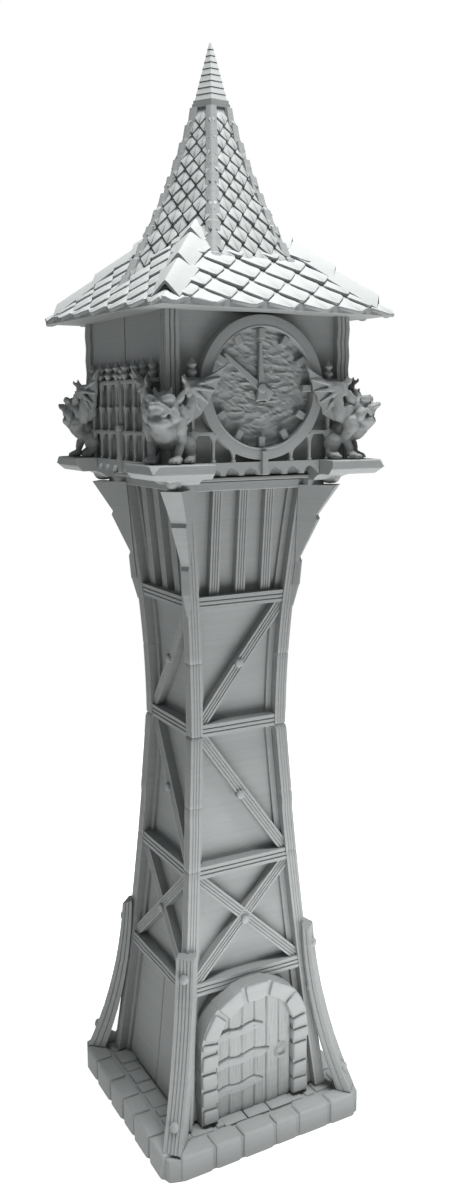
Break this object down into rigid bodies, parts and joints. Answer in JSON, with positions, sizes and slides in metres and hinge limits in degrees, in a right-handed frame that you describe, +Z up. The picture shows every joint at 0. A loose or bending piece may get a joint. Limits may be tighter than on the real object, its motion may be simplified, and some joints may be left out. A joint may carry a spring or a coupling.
{
  "type": "tabletop clock tower model",
  "caption": "Grey printed tabletop model of a timber clock tower with a waisted shaft, arched door, railed balcony with winged gargoyles, round clock and a tiled spire roof.",
  "frame": {"origin": "centre of the plinth's underside, on the table", "axes": "+Z up the tower; the door and the clock face -Y; +X to the right of someone facing the door"},
  "size_m": [0.0982, 0.0982, 0.4],
  "materials": {
    "timber_print": "grey printed plastic, satin, with fine level layer lines",
    "stone_print": "grey printed plastic, satin, with fine level layer lines",
    "beast_print": "grey printed plastic, satin, with fine level layer lines",
    "roof_print": "grey printed plastic, satin, with fine level layer lines"
  },
  "bodies": {
    "root": {"balcony_corbels": "timber_print", "balcony_fascia": "timber_print", "balcony_floor": "timber_print", "braces_back": "timber_print", "braces_front": "timber_print", "braces_left": "timber_print", "braces_right": "timber_print", "bracket_back_left": "timber_print", "bracket_back_right": "timber_print", "bracket_front_left": "timber_print", "bracket_front_right": "timber_print", "clock_dial": "timber_print", "clock_hands": "timber_print", "clock_markers": "timber_print", "clock_ring": "timber_print", "door": "timber_print", "door_arch": "stone_print", "door_ironwork": "timber_print", "gargoyle_back_left": "beast_print", "gargoyle_back_right": "beast_print", "gargoyle_front_left": "beast_print", "gargoyle_front_right": "beast_print", "head_beam": "timber_print", "hip_caps": "roof_print", "lower_roof": "roof_print", "plinth": "stone_print", "post_back_left": "timber_print", "post_back_right": "timber_print", "post_front_left": "timber_print", "post_front_right": "timber_print", "railing_back": "timber_print", "railing_front": "timber_print", "railing_left": "timber_print", "railing_right": "timber_print", "rails_back": "timber_print", "rails_front": "timber_print", "rails_left": "timber_print", "rails_right": "timber_print", "ridge_caps": "roof_print", "roof_deck": "roof_print", "room_posts": "timber_print", "room_wall_back": "timber_print", "room_wall_front": "timber_print", "room_wall_left": "timber_print", "room_wall_right": "timber_print", "spire": "roof_print", "spire_cap": "roof_print", "strut_back_left": "timber_print", "strut_back_right": "timber_print", "strut_front_left": "timber_print", "strut_front_right": "timber_print", "wall_back": "timber_print", "wall_front": "timber_print", "wall_left": "timber_print", "wall_right": "timber_print"}
  },
  "joints": []
}
